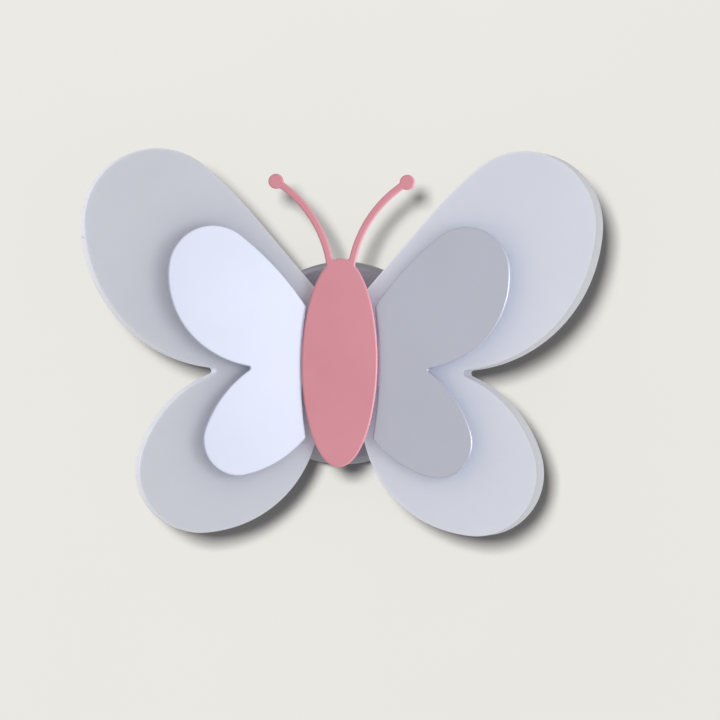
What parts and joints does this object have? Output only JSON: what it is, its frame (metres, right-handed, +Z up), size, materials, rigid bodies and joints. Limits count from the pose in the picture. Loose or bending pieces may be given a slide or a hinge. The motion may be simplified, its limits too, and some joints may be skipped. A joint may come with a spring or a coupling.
{
  "type": "butterfly wall lamp",
  "caption": "Butterfly-shaped wall lamp with opal light-box wings, painted front wings and a flat body with antennae on a round canopy.",
  "frame": {"origin": "centre of the wall bracket's screw pattern, on the bracket's back face, which lies on the wall", "axes": "+Z up, the lamp faces -Y into the room, +X to the viewer's right, the wall is the plane Y = 0"},
  "size_m": [0.4016, 0.0945, 0.2947],
  "materials": {
    "opal_acrylic": "satin opal, milky white all through",
    "white_paint": "white satin enamel",
    "pink_paint": "dusty pink satin enamel",
    "spun_metal": "spun grey metal with circular brush marks",
    "zinc_sheet": "zinc-plated folded sheet",
    "zinc_steel": "zinc-plated fasteners",
    "nickel_screw": "satin nickel",
    "aluminium_tube": "drawn tube",
    "white_sheet": "white painted aluminium sheet",
    "clear_acrylic": "clear cast acrylic",
    "light_board_white": "white solder mask",
    "lamp_phosphor": "yellow phosphor",
    "white_plastic": "moulded white polycarbonate",
    "circuit_board": "green board with its parts",
    "terminal_plastic": "natural polyamide",
    "brass_parts": "plain brass",
    "rubber_parts": "black rubber",
    "brown_lead": "brown insulation",
    "blue_lead": "blue insulation",
    "green_lead": "green and yellow insulation",
    "white_lead": "white insulation"
  },
  "bodies": {
    "bracket": {"wall_bracket": "zinc_sheet"},
    "washer_left": {"side_washer_left": "zinc_steel"},
    "screw_left": {"side_screw_left": "nickel_screw"},
    "washer_right": {"side_washer_right": "zinc_steel"},
    "screw_right": {"side_screw_right": "nickel_screw"},
    "lamp": {"board_socket_left": "white_plastic", "board_socket_right": "white_plastic", "body_plate": "pink_paint", "canopy": "spun_metal", "clamp_screws": "zinc_steel", "driver_case": "white_plastic", "driver_circuit": "circuit_board", "driver_lid": "white_plastic", "driver_screws": "zinc_steel", "earth_lead": "green_lead", "earth_screw": "zinc_steel", "earth_tag": "brass_parts", "face_posts_left": "clear_acrylic", "face_posts_right": "clear_acrylic", "front_spacers": "aluminium_tube", "front_wing_left": "white_paint", "front_wing_right": "white_paint", "grommet": "rubber_parts", "light_board_left": "light_board_white", "light_board_right": "light_board_white", "light_chips_left": "lamp_phosphor", "light_chips_right": "lamp_phosphor", "light_lead_left": "white_lead", "light_lead_right": "white_lead", "live_lead": "brown_lead", "long_screws": "zinc_steel", "neutral_lead": "blue_lead", "post_screws_left": "zinc_steel", "post_screws_right": "zinc_steel", "rear_band_left": "opal_acrylic", "rear_band_right": "opal_acrylic", "rear_face_left": "opal_acrylic", "rear_face_right": "opal_acrylic", "rear_spacers": "aluminium_tube", "rear_tray_left": "white_sheet", "rear_tray_right": "white_sheet", "terminal_barrels": "brass_parts", "terminal_block": "terminal_plastic", "tray_bolts_left": "zinc_steel", "tray_bolts_right": "zinc_steel", "tray_nuts_left": "zinc_steel", "tray_nuts_right": "zinc_steel", "wing_carrier": "zinc_sheet", "wing_cross": "zinc_sheet", "wing_nuts_left": "zinc_steel", "wing_nuts_right": "zinc_steel", "wing_screws_left": "zinc_steel", "wing_screws_right": "zinc_steel"}
  },
  "joints": [
    {"name": "lift_off", "type": "slide", "parent": "bracket", "child": "lamp", "axis": [0, 0, 1], "range_m": [0, 0.012]},
    {"name": "side_screw_travel_left", "type": "slide", "parent": "lamp", "child": "washer_left", "axis": [-1, 0, 0], "range_m": [0, 0.0021]},
    {"name": "side_screw_turn_left", "type": "hinge", "parent": "washer_left", "child": "screw_left", "pos_m": [-0.08, -0.009, 0], "axis": [-1, 0, 0], "range_deg": [0, 1080]},
    {"name": "side_screw_travel_right", "type": "slide", "parent": "lamp", "child": "washer_right", "axis": [1, 0, 0], "range_m": [0, 0.0021]},
    {"name": "side_screw_turn_right", "type": "hinge", "parent": "washer_right", "child": "screw_right", "pos_m": [0.08, -0.009, 0], "axis": [1, 0, 0], "range_deg": [0, 1080]}
  ],
  "couplings": [
    {"joint": "side_screw_travel_left", "follows": "side_screw_turn_left", "m_per_rad": 0.00011141},
    {"joint": "side_screw_travel_right", "follows": "side_screw_turn_right", "m_per_rad": 0.00011141}
  ]
}
